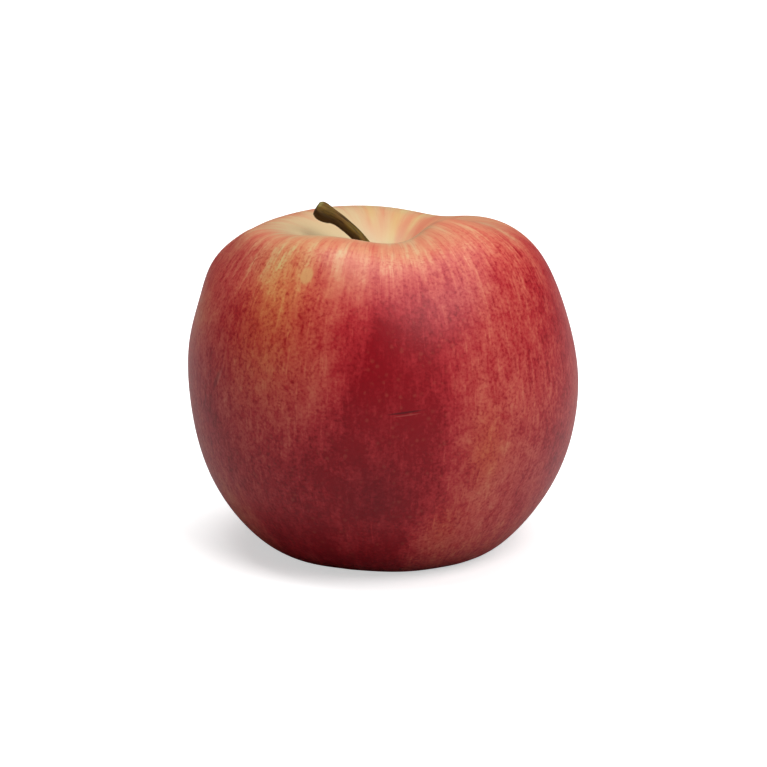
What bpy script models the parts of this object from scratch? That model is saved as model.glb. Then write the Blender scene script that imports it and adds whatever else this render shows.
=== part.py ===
"""A red apple: the fruit, its woody stem and the dried calyx at its base.

Lengths are in metres and +Z is up. The front of the apple faces -Y. The origin lies on the surface that the
apple stands on, under the middle of its outline.
"""

import math
from dataclasses import dataclass

import bmesh
import bpy
import numpy as np
from mathutils import Matrix, Vector

MM = 0.001
GAP = 0.3 * MM  # between pieces that touch on the real apple

# The fruit's average section, from the stem cavity over the crest and down to the calyx basin
CAVITY_FLOOR = 52.1 * MM
CREST_RADIUS = 19.1 * MM
CREST_HEIGHT = 63.65 * MM
EQUATOR_RADIUS = 38.95 * MM
EQUATOR_HEIGHT = 35.65 * MM
BASE_RADIUS = 17.0 * MM
BASIN_ROOF = 8.5 * MM
SECTION_STEPS = 11  # faces along each of the section's four spans
ROUND_STEPS = 80  # faces round the axis

# How far the section runs straight on, inward or outward, from each of its turning points
FLOOR_FULLNESS = 3.0 * MM
CREST_INNER_FULLNESS = 10.8 * MM
CREST_OUTER_FULLNESS = 12.8 * MM
SHOULDER_FULLNESS = 13.6 * MM
HIP_FULLNESS = 16.8 * MM
BASE_OUTER_FULLNESS = 12.15 * MM
BASE_INNER_FULLNESS = 5.0 * MM
ROOF_FULLNESS = 5.0 * MM

# Where the lobes and the feet act on the section
LOBE_SHARPNESS = 6.0
SPREAD_END = 33.0 * MM  # radius where the crest's spread has run out
SHOULDER_HEIGHT = 52.0 * MM
SHOULDER_REACH = 13.0 * MM
HIP_HEIGHT = 15.0 * MM
HIP_REACH = 12.0 * MM
FOOT_REACH = 5.0 * MM
ARCH_RISE = 1.0 * MM  # of the base between two feet
FLAT_DEPTH = 0.35 * MM  # pressed off each foot, which leaves the small flat spots that it stands on
PLEAT_DEPTH = 0.45 * MM
PLEAT_RADIUS = 8.0 * MM
PLEAT_REACH = 4.0 * MM
SWELLING_CENTRE = 35.0 * MM
SWELLING_SHARPNESS = 70.0

STEM_HOLE_DEPTH = 6.0 * MM
STEM_ROOT_RADIUS = 1.5 * MM
STEM_POINTS = 28
STEM_ROUNDING = 4  # bevel resolution, which gives 12 sides

CALYX_TUBE_RADIUS = 2.5 * MM
CALYX_TUBE_DEPTH = 2.5 * MM
PLUG_DROP = 1.8 * MM  # of the calyx's solid middle below the basin's roof
SEPALS = 5
SEPAL_WIDTH = 3.4 * MM
SEPAL_THICKNESS = 0.7 * MM
SEPAL_CUP = 0.35 * MM  # rise of the edges over the midrib
SEPAL_TIP_SHARE = 0.2  # of the width, left at the tip
SEPAL_ROWS = 8
SEPAL_COLUMNS = 4
SEPAL_TURN = math.radians(14)
STAMENS = 9
STAMEN_RADIUS = 0.35 * MM
STAMEN_SPREAD = 1.2
STAMEN_LENGTH = 2.4 * MM


@dataclass(frozen=True)
class Lobe:
    """One of the five lobes that run from the crest down to the feet."""

    azimuth: float  # degrees from the front, towards +X
    rise: float  # of the crest
    spread: float  # of the crest away from the axis
    shoulder: float  # swelling of the upper side
    hip: float  # swelling of the lower side


@dataclass(frozen=True)
class Swelling:
    """A slight bump or hollow of the skin, a few millimetres across."""

    azimuth: float  # degrees from the front, towards +X
    latitude: float  # degrees above the level of the centre
    height: float


@dataclass(frozen=True)
class StemStation:
    """A point of the stem's centre line, from the cavity's axis, with its radius there."""

    x: float
    y: float
    z: float
    radius: float


LOBES = (
    Lobe(49, 5.25 * MM, -2.45 * MM, -0.35 * MM, -1.45 * MM),
    Lobe(-27, 3.65 * MM, 2.95 * MM, 0.2 * MM, 0.65 * MM),
    Lobe(-79, 1.9 * MM, 4.0 * MM, 1.1 * MM, 0.45 * MM),
    Lobe(-158, 1.65 * MM, 2.45 * MM, 0.35 * MM, 0.0 * MM),
    Lobe(107, 2.0 * MM, -0.25 * MM, -1.65 * MM, 1.55 * MM),
)

SWELLINGS = (
    Swelling(-91, 22, -0.55 * MM),
    Swelling(-95, 34, 0.60 * MM),
    Swelling(-97, 39, 0.65 * MM),
    Swelling(-99, 45, -0.70 * MM),
    Swelling(-112, 50, 0.55 * MM),
    Swelling(-130, 48, 0.40 * MM),
    Swelling(-161, 52, -0.30 * MM),
    Swelling(173, 50, 0.10 * MM),
    Swelling(150, 51, -0.50 * MM),
    Swelling(57, -55, 0.20 * MM),
    Swelling(13, -59, 0.35 * MM),
    Swelling(-21, -59, -0.35 * MM),
)

STEM = (
    StemStation(0.0 * MM, 0.0 * MM, CAVITY_FLOOR - STEM_HOLE_DEPTH + GAP, STEM_ROOT_RADIUS),
    StemStation(0.0 * MM, 0.0 * MM, CAVITY_FLOOR - 2.0 * MM, STEM_ROOT_RADIUS),
    StemStation(-0.2 * MM, 0.0 * MM, CAVITY_FLOOR + 1.5 * MM, STEM_ROOT_RADIUS),
    StemStation(-1.8 * MM, 0.1 * MM, 58.4 * MM, 1.30 * MM),
    StemStation(-5.0 * MM, 0.2 * MM, 63.0 * MM, 1.18 * MM),
    StemStation(-8.1 * MM, 0.1 * MM, 66.0 * MM, 1.18 * MM),
    StemStation(-9.9 * MM, 0.0 * MM, 67.3 * MM, 1.30 * MM),
    StemStation(-11.3 * MM, -0.1 * MM, 68.0 * MM, 1.70 * MM),
    StemStation(-12.3 * MM, -0.2 * MM, 68.6 * MM, 1.90 * MM),
    StemStation(-13.1 * MM, -0.3 * MM, 69.1 * MM, 1.70 * MM),
    StemStation(-13.6 * MM, -0.3 * MM, 69.4 * MM, 1.20 * MM),
)

# A sepal's midrib: distance from the axis and height, from its root to its curled tip
SEPAL_MIDRIB = (
    (1.5 * MM, BASIN_ROOF - 1.2 * MM),
    (3.3 * MM, BASIN_ROOF - 2.3 * MM),
    (4.5 * MM, BASIN_ROOF - 4.1 * MM),
    (6.4 * MM, BASIN_ROOF - 5.1 * MM),
)


def clear_scene():
    """Remove every object that the file opened with."""
    for obj in list(bpy.data.objects):
        bpy.data.objects.remove(obj, do_unlink=True)


def new_collection(name):
    """Return a new collection in the scene."""
    collection = bpy.data.collections.new(name)
    bpy.context.scene.collection.children.link(collection)
    return collection


def new_object(name, data, collection):
    """Return a new object for a mesh or a curve."""
    obj = bpy.data.objects.new(name, data)
    collection.objects.link(obj)
    return obj


def new_material(name, colour, roughness):
    """Return a plain surface of one colour."""
    material = bpy.data.materials.new(name)
    material.use_nodes = True
    material.diffuse_color = (*colour, 1.0)
    shader = material.node_tree.nodes["Principled BSDF"]
    shader.inputs["Base Color"].default_value = (*colour, 1.0)
    shader.inputs["Roughness"].default_value = roughness
    shader.inputs["Metallic"].default_value = 0.0
    return material


def finish(obj, material):
    """Give a piece its material and smooth its round faces."""
    obj.data.materials.clear()
    obj.data.materials.append(material)
    obj.data.shade_smooth()
    obj.data.set_sharp_from_angle(angle=math.radians(40))


def as_mesh(obj, collection):
    """Replace a curve or a modified object by the mesh that it makes."""
    bpy.context.view_layer.update()
    evaluated = obj.evaluated_get(bpy.context.evaluated_depsgraph_get())
    mesh = bpy.data.meshes.new_from_object(evaluated)
    name, place = obj.name, obj.matrix_world.copy()
    bpy.data.objects.remove(obj, do_unlink=True)
    bm = bmesh.new()
    bm.from_mesh(mesh)
    bmesh.ops.remove_doubles(bm, verts=bm.verts, dist=0.001 * MM)
    bmesh.ops.recalc_face_normals(bm, faces=bm.faces)
    bm.to_mesh(mesh)
    bm.free()
    made = new_object(name, mesh, collection)
    made.matrix_world = place
    return made


def points_of(mesh):
    """Return the mesh's points as an array with a row for each."""
    flat = np.empty(len(mesh.vertices) * 3)
    mesh.vertices.foreach_get("co", flat)
    return flat.reshape(-1, 3)


def set_points(mesh, points):
    """Move the mesh's points."""
    mesh.vertices.foreach_set("co", points.ravel())
    mesh.update()


def smooth_step(x):
    """Ease from 0 to 1 as x goes from 0 to 1."""
    x = np.clip(x, 0.0, 1.0)
    return x * x * (3.0 - 2.0 * x)


def hump(x, middle, reach):
    """A bell that is 1 at the middle and has nearly gone at twice the reach."""
    return np.exp(-(((x - middle) / reach) ** 2))


def from_front(azimuth):
    """Turn degrees from the front, towards +X, into the angle from +X."""
    return math.radians(azimuth - 90)


def through(stations, count):
    """Points on a smooth curve through the stations, by Catmull-Rom spans, as rows of their values."""
    rows = np.array(stations)
    rows = np.vstack([2 * rows[0] - rows[1], rows, 2 * rows[-1] - rows[-2]])
    spans = len(stations) - 1
    at = np.linspace(0.0, spans, count)
    span = np.minimum(at.astype(int), spans - 1)
    t = (at - span)[:, None]
    a, b, c, d = (rows[span + k] for k in range(4))
    return 0.5 * (
        2 * b + (c - a) * t + (2 * a - 5 * b + 4 * c - d) * t**2 + (3 * b - a - 3 * c + d) * t**3
    )


def section_curve(collection):
    """The fruit's section as a Bezier curve whose handles lie level or upright at each turning point."""
    stations = (
        # the turning point, and the reach of the handles before and after it
        ((0.0, CAVITY_FLOOR), (0.0, 0.0), (FLOOR_FULLNESS, 0.0)),
        ((CREST_RADIUS, CREST_HEIGHT), (-CREST_INNER_FULLNESS, 0.0), (CREST_OUTER_FULLNESS, 0.0)),
        ((EQUATOR_RADIUS, EQUATOR_HEIGHT), (0.0, SHOULDER_FULLNESS), (0.0, -HIP_FULLNESS)),
        ((BASE_RADIUS, 0.0), (BASE_OUTER_FULLNESS, 0.0), (-BASE_INNER_FULLNESS, 0.0)),
        ((0.0, BASIN_ROOF), (ROOF_FULLNESS, 0.0), (0.0, 0.0)),
    )
    curve = bpy.data.curves.new("fruit_section", "CURVE")
    curve.dimensions = "3D"
    curve.resolution_u = SECTION_STEPS
    spline = curve.splines.new("BEZIER")
    spline.bezier_points.add(len(stations) - 1)
    for point, ((radius, height), before, after) in zip(spline.bezier_points, stations):
        point.handle_left_type = point.handle_right_type = "FREE"
        point.co = (radius, 0.0, height)
        point.handle_left = (radius + before[0], 0.0, height + before[1])
        point.handle_right = (radius + after[0], 0.0, height + after[1])
    return new_object("fruit", curve, collection)


def lobed(points):
    """Raise the five lobes on a turned body and set its feet apart.

    A lobe is a bell round its azimuth. It lifts the crest, fully at the crest and fading down the cavity and
    the side, moves it outward, and swells the shoulder and the hip. Between the lobes the base arches clear
    of the surface and the basin is pleated.
    """
    x, y, z = points.T
    radius = np.hypot(x, y)
    azimuth = np.arctan2(y, x)
    bells = [
        np.exp(LOBE_SHARPNESS * (np.cos(azimuth - from_front(lobe.azimuth)) - 1)) for lobe in LOBES
    ]
    rise = sum(lobe.rise * bell for lobe, bell in zip(LOBES, bells))
    spread = sum(lobe.spread * bell for lobe, bell in zip(LOBES, bells))
    shoulder = sum(lobe.shoulder * bell for lobe, bell in zip(LOBES, bells))
    hip = sum(lobe.hip * bell for lobe, bell in zip(LOBES, bells))
    between = 1.0 - np.minimum(1.0, sum(bells))
    on_top = z > EQUATOR_HEIGHT
    crown = np.where(
        (radius < CREST_RADIUS) & on_top,
        smooth_step(radius / CREST_RADIUS),
        smooth_step((z - EQUATOR_HEIGHT) / (CREST_HEIGHT - EQUATOR_HEIGHT)),
    )
    rim = on_top * np.where(
        radius < CREST_RADIUS,
        smooth_step(radius / CREST_RADIUS),
        smooth_step((SPREAD_END - radius) / (SPREAD_END - CREST_RADIUS)),
    )
    in_basin = (radius < BASE_RADIUS) & ~on_top
    arch = hump(z, 0.0, FOOT_REACH) * (ARCH_RISE * between - FLAT_DEPTH)
    pleats = PLEAT_DEPTH * hump(radius, PLEAT_RADIUS, PLEAT_REACH) * between * in_basin
    height = z + crown * rise + arch + pleats
    outward = radius / EQUATOR_RADIUS
    radius = radius + spread * rim + shoulder * hump(z, SHOULDER_HEIGHT, SHOULDER_REACH) * outward**2
    radius = radius + hip * hump(z, HIP_HEIGHT, HIP_REACH) * outward
    return np.column_stack([radius * np.cos(azimuth), radius * np.sin(azimuth), height])


def uneven(points):
    """Add the slight swellings and hollows of the skin, each a bell round its direction from the centre."""
    centre = np.array([0.0, 0.0, SWELLING_CENTRE])
    arm = points - centre
    direction = arm / np.linalg.norm(arm, axis=1, keepdims=True)
    height = np.zeros(len(points))
    for swelling in SWELLINGS:
        turn, tilt = from_front(swelling.azimuth), math.radians(swelling.latitude)
        top = np.array(
            [math.cos(turn) * math.cos(tilt), math.sin(turn) * math.cos(tilt), math.sin(tilt)]
        )
        height += swelling.height * np.exp(SWELLING_SHARPNESS * (direction @ top - 1))
    return points + direction * height[:, None]


def standing(points):
    """Press the feet flat on the surface that the apple stands on."""
    return np.column_stack([points[:, 0], points[:, 1], np.maximum(points[:, 2], 0.0)])


def cutter(name, radius, low, high, collection):
    """An upright cylinder that cuts a plain hole on the axis."""
    mesh = bpy.data.meshes.new(name)
    bm = bmesh.new()
    bmesh.ops.create_cone(
        bm, cap_ends=True, segments=24, radius1=radius, radius2=radius, depth=high - low
    )
    bm.to_mesh(mesh)
    bm.free()
    mesh.transform(Matrix.Translation((0.0, 0.0, (low + high) / 2)))
    obj = new_object(name, mesh, collection)
    obj.hide_render = True
    obj.display_type = "WIRE"
    return obj


def cut_hole(body, hole):
    """Cut a hole out of a body."""
    cut = body.modifiers.new(hole.name, "BOOLEAN")
    cut.operation = "DIFFERENCE"
    cut.solver = "EXACT"
    cut.object = hole


def make_fruit(collection, cutters, material):
    """The whole body of the apple: a turned section, lobed, with holes for the stem and the calyx tube."""
    turned = section_curve(collection)
    screw = turned.modifiers.new("turn", "SCREW")
    screw.axis = "Z"
    screw.steps = screw.render_steps = ROUND_STEPS
    screw.use_merge_vertices = True
    screw.merge_threshold = 0.001 * MM
    fruit = as_mesh(turned, collection)
    set_points(fruit.data, standing(uneven(lobed(points_of(fruit.data)))))
    finish(fruit, material)
    stem_bottom = CAVITY_FLOOR - STEM_HOLE_DEPTH
    tube_top = BASIN_ROOF + CALYX_TUBE_DEPTH
    cut_hole(
        fruit, cutter("stem_hole", STEM_ROOT_RADIUS + GAP, stem_bottom, CREST_HEIGHT, cutters)
    )
    cut_hole(fruit, cutter("calyx_tube", CALYX_TUBE_RADIUS + GAP, 0.0, tube_top, cutters))
    return fruit


def make_stem(collection, material):
    """The woody stem: a bent shaft with the swollen end where it left the twig."""
    curve = bpy.data.curves.new("stem", "CURVE")
    curve.dimensions = "3D"
    curve.bevel_depth = 1.0 * MM
    curve.bevel_resolution = STEM_ROUNDING
    curve.use_fill_caps = True
    spline = curve.splines.new("POLY")
    spline.points.add(STEM_POINTS - 1)
    rows = through([(s.x, s.y, s.z, s.radius) for s in STEM], STEM_POINTS)
    for point, (x, y, z, radius) in zip(spline.points, rows):
        point.co = (x, y, z, 1.0)
        point.radius = radius / curve.bevel_depth
    stem = as_mesh(new_object("stem", curve, collection), collection)
    finish(stem, material)
    return stem


def leaf_width(along):
    """A leaf's share of its width, from its root at 0 to its tip at 1, widest past the middle."""
    return 0.55 + 1.35 * along - 0.9 * along**2 - along**4


def make_sepal(name, turn, collection):
    """One dried sepal: a grid bent along the midrib and cupped across it, with real thickness."""
    mesh = bpy.data.meshes.new(name)
    bm = bmesh.new()
    bmesh.ops.create_grid(bm, x_segments=SEPAL_ROWS, y_segments=SEPAL_COLUMNS, size=1.0)
    bm.to_mesh(mesh)
    bm.free()
    flat = points_of(mesh)
    along = (flat[:, 0] + 1) / 2
    across = flat[:, 1]
    share = SEPAL_TIP_SHARE + (1 - SEPAL_TIP_SHARE) * leaf_width(along)
    side = SEPAL_WIDTH / 2 * share * across
    ribs = through(SEPAL_MIDRIB, SEPAL_ROWS + 1)
    places = np.linspace(0.0, 1.0, SEPAL_ROWS + 1)
    radius = np.interp(along, places, ribs[:, 0])
    height = np.interp(along, places, ribs[:, 1]) + SEPAL_CUP * across**2 * (1 - along)
    set_points(mesh, np.column_stack([radius, side, height]))
    mesh.transform(Matrix.Rotation(turn, 4, "Z"))
    sepal = new_object(name, mesh, collection)
    solid = sepal.modifiers.new("thickness", "SOLIDIFY")
    solid.thickness = SEPAL_THICKNESS
    solid.offset = 0.0
    return as_mesh(sepal, collection)


def make_peg(name, start, end, start_radius, end_radius, sides, collection):
    """A straight round peg from one point to another, closed at both ends."""
    start, end = Vector(start), Vector(end)
    span = end - start
    mesh = bpy.data.meshes.new(name)
    bm = bmesh.new()
    bmesh.ops.create_cone(
        bm,
        cap_ends=True,
        segments=sides,
        radius1=start_radius,
        radius2=end_radius,
        depth=span.length,
    )
    bm.to_mesh(mesh)
    bm.free()
    mesh.transform(span.to_track_quat("Z", "Y").to_matrix().to_4x4())
    mesh.transform(Matrix.Translation((start + end) / 2))
    return new_object(name, mesh, collection)


def make_calyx(collection, material):
    """The dried calyx: a plug in the calyx tube, sepals round its mouth and the stamens' stubs within."""
    repeats = new_collection("calyx_repeats")
    plug_top = BASIN_ROOF + CALYX_TUBE_DEPTH - GAP
    plug_bottom = BASIN_ROOF - PLUG_DROP
    calyx = make_peg(
        "calyx",
        (0.0, 0.0, plug_bottom),
        (0.0, 0.0, plug_top),
        CALYX_TUBE_RADIUS,
        CALYX_TUBE_RADIUS,
        20,
        collection,
    )
    for i in range(SEPALS):
        make_sepal(f"sepal_{i}", SEPAL_TURN + i * math.tau / SEPALS, repeats)
    for i in range(STAMENS):
        turn = i * math.tau / STAMENS
        ring = CALYX_TUBE_RADIUS * (0.35 if i % 2 else 0.6)
        root = (ring * math.cos(turn), ring * math.sin(turn), BASIN_ROOF)
        tip = (root[0] * STAMEN_SPREAD, root[1] * STAMEN_SPREAD, plug_bottom - STAMEN_LENGTH)
        make_peg(f"stamen_{i}", tip, root, STAMEN_RADIUS, STAMEN_SPREAD * STAMEN_RADIUS, 5, repeats)
    join = calyx.modifiers.new("join", "BOOLEAN")
    join.operation = "UNION"
    join.solver = "EXACT"
    join.operand_type = "COLLECTION"
    join.collection = repeats
    calyx = as_mesh(calyx, collection)
    for obj in list(repeats.objects):
        bpy.data.objects.remove(obj, do_unlink=True)
    bpy.data.collections.remove(repeats)
    finish(calyx, material)
    return calyx


def main():
    """Build the apple and centre its outline on the origin."""
    clear_scene()
    apple = new_collection("red_apple")
    cutters = new_collection("cutters")
    skin = new_material("apple_skin", (0.42, 0.035, 0.040), 0.38)
    bark = new_material("stem_bark", (0.085, 0.050, 0.018), 0.75)
    husk = new_material("dried_calyx", (0.110, 0.075, 0.040), 0.90)
    fruit = make_fruit(apple, cutters, skin)
    stem = make_stem(apple, bark)
    calyx = make_calyx(apple, husk)
    outline = points_of(fruit.data)
    middle = (outline.min(axis=0) + outline.max(axis=0)) / 2
    for piece in (fruit, stem, calyx, *cutters.objects):
        piece.data.transform(Matrix.Translation((-middle[0], -middle[1], 0.0)))


main()
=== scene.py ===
"""A red apple as it stands in a soft light: the fruit's skin, its woody stem and its dried calyx.

Lengths are in metres, but for the places on the skin, which are in millimetres. +Z is up. The front of the
apple faces -Y, where the camera stands. An azimuth is in degrees from the front, towards +X.
"""

import logging
import math
from dataclasses import dataclass, field
from enum import Enum
from typing import Any, Mapping, Sequence, Union

import bpy
import numpy as np
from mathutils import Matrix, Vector


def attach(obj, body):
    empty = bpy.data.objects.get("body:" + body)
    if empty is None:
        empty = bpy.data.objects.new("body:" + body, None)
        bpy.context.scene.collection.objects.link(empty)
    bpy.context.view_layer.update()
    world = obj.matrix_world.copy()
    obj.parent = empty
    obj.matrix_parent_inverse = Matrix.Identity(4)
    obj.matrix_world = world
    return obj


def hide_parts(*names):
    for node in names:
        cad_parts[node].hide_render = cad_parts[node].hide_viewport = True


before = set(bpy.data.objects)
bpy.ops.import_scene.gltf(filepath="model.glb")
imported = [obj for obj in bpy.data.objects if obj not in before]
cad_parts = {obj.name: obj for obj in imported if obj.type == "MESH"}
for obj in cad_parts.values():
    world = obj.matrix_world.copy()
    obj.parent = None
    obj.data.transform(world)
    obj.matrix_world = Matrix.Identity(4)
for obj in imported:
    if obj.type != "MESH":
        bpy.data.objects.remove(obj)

LOG = logging.getLogger("apple")
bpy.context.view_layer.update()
MM = 0.001
WHITE = (1.0, 1.0, 1.0)

Array = np.ndarray
Colour = tuple[float, float, float]
Input = Union["Flow", float, int, Sequence[float]]


def smooth_step(x: Array) -> Array:
    """Ease from 0 to 1 as x goes from 0 to 1: x² (3 - 2x), held level outside.

    Args:
        x: where on the step.

    Returns:
        The eased value of each.
    """
    held = np.clip(x, 0.0, 1.0)
    return held * held * (3.0 - 2.0 * held)


def hump(x: Array, middle: float, reach: float) -> Array:
    """A bell, exp(-((x - middle) / reach)²), which is 1 at the middle.

    Args:
        x: where on the bell.
        middle: where it peaks.
        reach: how far from the middle it has fallen to 1/e.

    Returns:
        The bell's height at each.
    """
    return np.exp(-(((x - middle) / reach) ** 2))


def from_front(azimuth: float) -> float:
    """Turn degrees from the front, towards +X, into radians from +X."""
    return math.radians(azimuth - 90.0)


def towards(azimuth: float, elevation: float) -> tuple[float, float, float]:
    """The unit direction at an azimuth and an elevation, both in degrees."""
    turn, tilt = from_front(azimuth), math.radians(elevation)
    return math.cos(turn) * math.cos(tilt), math.sin(turn) * math.cos(tilt), math.sin(tilt)


def full_turn(columns: int) -> Array:
    """That many angles evenly round a circle, from 0."""
    return np.arange(columns) * math.tau / columns


def length_along(rows: Array) -> Array:
    """The length of a line from its first point to each of its points, one to a row."""
    return np.concatenate([[0.0], np.cumsum(np.linalg.norm(np.diff(rows, axis=0), axis=1))])


def through(stations: Sequence[Sequence[float]], count: int) -> Array:
    """Rows on a smooth curve through the stations, by Catmull-Rom spans.

    A span from b to c with neighbours a and d is, at t from 0 to 1, half of
    2b + (c - a)t + (2a - 5b + 4c - d)t² + (3b - a - 3c + d)t³.

    Args:
        stations: rows of values that the curve passes through.
        count: how many rows to return.

    Returns:
        The values of each row along the curve.
    """
    rows = np.array(stations, dtype=float)
    rows = np.vstack([2 * rows[0] - rows[1], rows, 2 * rows[-1] - rows[-2]])
    spans = len(stations) - 1
    at = np.linspace(0.0, spans, count)
    span = np.minimum(at.astype(int), spans - 1)
    t = (at - span)[:, None]
    a, b, c, d = (rows[span + k] for k in range(4))
    return 0.5 * (
        2 * b + (c - a) * t + (2 * a - 5 * b + 4 * c - d) * t**2 + (3 * b - a - 3 * c + d) * t**3
    )


def evenly(rows: Array, count: int) -> Array:
    """Spread points evenly by length along a line.

    Args:
        rows: the line's points, one to a row.
        count: how many points to return.

    Returns:
        That many points, equal lengths apart.
    """
    length = length_along(rows)
    places = np.linspace(0.0, length[-1], count)
    return np.column_stack([np.interp(places, length, rows[:, k]) for k in range(rows.shape[1])])


def unrolled(turn: Array, length: Array, reach: float) -> Array:
    """Places on a cylinder: (reach cos turn, reach sin turn, length) by row and column.

    Args:
        turn: the angle of each column.
        length: the height of each row.
        reach: the cylinder's radius.

    Returns:
        The place of each point.
    """
    places = (reach * np.cos(turn), reach * np.sin(turn), length[:, None])
    return np.stack(np.broadcast_arrays(*places), axis=-1)


def ripple(turn: Array, along: Array, seed: int, waves: int, turns: int, lengths: float) -> Array:
    """An uneven relief on a closed round surface: a sum of sines with whole numbers of waves round it.

    Each wave is sin(k turn + m along + phase) / sqrt(waves), with k up to turns and m up to lengths.

    Args:
        turn: angle round the axis, in radians.
        along: place along the axis, from 0 to 1.
        seed: which of the reliefs.
        waves: how many sines are added.
        turns: the most waves round the axis.
        lengths: the most waves along it.

    Returns:
        The relief, mostly between -1 and 1.
    """
    draw = np.random.default_rng(seed)
    total = np.zeros(np.broadcast(turn, along).shape)
    for _ in range(waves):
        k = draw.integers(0, turns + 1)
        m = draw.uniform(0.3, 1.0) * lengths * math.tau
        total = total + np.sin(k * turn + m * along + draw.uniform(0, math.tau))
    return total / math.sqrt(waves)


def closed_round(grid: Array) -> tuple[Array, list[list[int]]]:
    """Points and faces of a grid that closes round its axis and is drawn to a point at both ends.

    A row runs round the axis, and the rows run from the first end to the last. Each face goes along its
    column first and then along its row, and the first and the last row each become one point.

    Args:
        grid: values by row and column, the place first.

    Returns:
        A row of values for each point, and the points of each face.
    """
    rows, columns = grid.shape[:2]
    index = 1 + np.arange((rows - 2) * columns).reshape(rows - 2, columns)
    first, last = np.zeros((1, columns), int), np.full((1, columns), (rows - 2) * columns + 1)
    index = np.vstack([first, index, last])
    beside = np.roll(index, -1, axis=1)
    quads = np.stack([index[:-1], index[1:], beside[1:], beside[:-1]], axis=-1)
    faces = quads[0][:, [0, 1, 2]].tolist()
    faces += quads[1:-1].reshape(-1, 4).tolist()
    faces += quads[-1][:, [0, 1, 3]].tolist()
    return at_points(grid), faces


def round_mesh(name: str, grid: Array) -> bpy.types.Mesh:
    """Make a smooth closed mesh from a grid that closes round its axis.

    Args:
        name: the mesh's name.
        grid: its points by row and column.

    Returns:
        The new mesh.
    """
    points, faces = closed_round(grid)
    mesh = bpy.data.meshes.new(name)
    mesh.from_pydata(points.tolist(), [], faces)
    mesh.shade_smooth()
    return mesh


def at_points(grid: Array) -> Array:
    """The values of a grid in the order of the points of a closed round mesh."""
    return np.concatenate([grid[0, :1], grid[1:-1].reshape(-1, *grid.shape[2:]), grid[-1, :1]])


def keep(mesh: bpy.types.Mesh, name: str, values: Array) -> None:
    """Keep a number or a vector with each point of a mesh.

    Args:
        mesh: the mesh.
        name: the attribute's name.
        values: a number or a row of three for each point.
    """
    kind, part = ("FLOAT_VECTOR", "vector") if values.ndim == 2 else ("FLOAT", "value")
    layer = mesh.attributes.new(name, kind, "POINT")
    layer.data.foreach_set(part, values.astype(np.float32).ravel())


def place(name: str, mesh: bpy.types.Mesh, material: bpy.types.Material) -> bpy.types.Object:
    """Put a mesh into the scene as an object with one material.

    Args:
        name: the object's name.
        mesh: its mesh.
        material: its finish.

    Returns:
        The new object.
    """
    mesh.materials.append(material)
    obj = bpy.data.objects.new(name, mesh)
    bpy.context.scene.collection.objects.link(obj)
    return obj


class Flow:
    """A number, vector or colour on its way between shader nodes. Sums on it add Math nodes."""

    def __init__(self, board: "Board", socket: bpy.types.NodeSocket) -> None:
        """Hold an output socket of a board's node."""
        self.board = board
        self.socket = socket

    def _maths(self, operation: str, *values: Input, clamp: bool = False) -> "Flow":
        """Add a Math node on these values."""
        settings = {"operation": operation, "use_clamp": clamp}
        return self.board.add("ShaderNodeMath", settings, dict(enumerate(values)))

    def __add__(self, other: Input) -> "Flow":
        """self + other."""
        return self._maths("ADD", self, other)

    def __radd__(self, other: Input) -> "Flow":
        """other + self."""
        return self._maths("ADD", other, self)

    def __sub__(self, other: Input) -> "Flow":
        """self - other."""
        return self._maths("SUBTRACT", self, other)

    def __rsub__(self, other: Input) -> "Flow":
        """other - self."""
        return self._maths("SUBTRACT", other, self)

    def __mul__(self, other: Input) -> "Flow":
        """self * other."""
        return self._maths("MULTIPLY", self, other)

    def __rmul__(self, other: Input) -> "Flow":
        """other * self."""
        return self._maths("MULTIPLY", other, self)

    def held(self) -> "Flow":
        """This number, held between 0 and 1."""
        return self._maths("ADD", self, 0.0, clamp=True)

    def step(self, low: float, high: float) -> "Flow":
        """Ease from 0 at low to 1 at high, held level outside. With low over high it falls."""
        settings = {"interpolation_type": "SMOOTHSTEP"}
        values = {"Value": self, "From Min": low, "From Max": high}
        if low > high:
            values = {"Value": self, "From Min": high, "From Max": low, "To Min": 1.0, "To Max": 0.0}
        return self.board.add("ShaderNodeMapRange", settings, values)

    def stretched(self, factors: Sequence[float]) -> "Flow":
        """This vector with each of its parts times a factor."""
        settings = {"operation": "MULTIPLY"}
        return self.board.add("ShaderNodeVectorMath", settings, {0: self, 1: tuple(factors)})

    def moved(self, by: Input) -> "Flow":
        """This vector plus another."""
        return self.board.add("ShaderNodeVectorMath", {"operation": "ADD"}, {0: self, 1: by})

    def turned(self, axis: Sequence[float], angle: float) -> "Flow":
        """This vector turned about an axis by an angle in radians."""
        settings = {"rotation_type": "AXIS_ANGLE"}
        values = {"Vector": self, "Axis": tuple(axis), "Angle": angle}
        return self.board.add("ShaderNodeVectorRotate", settings, values)

    def length(self) -> "Flow":
        """This vector's length."""
        return self.board.add("ShaderNodeVectorMath", {"operation": "LENGTH"}, {0: self}, "Value")


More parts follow.
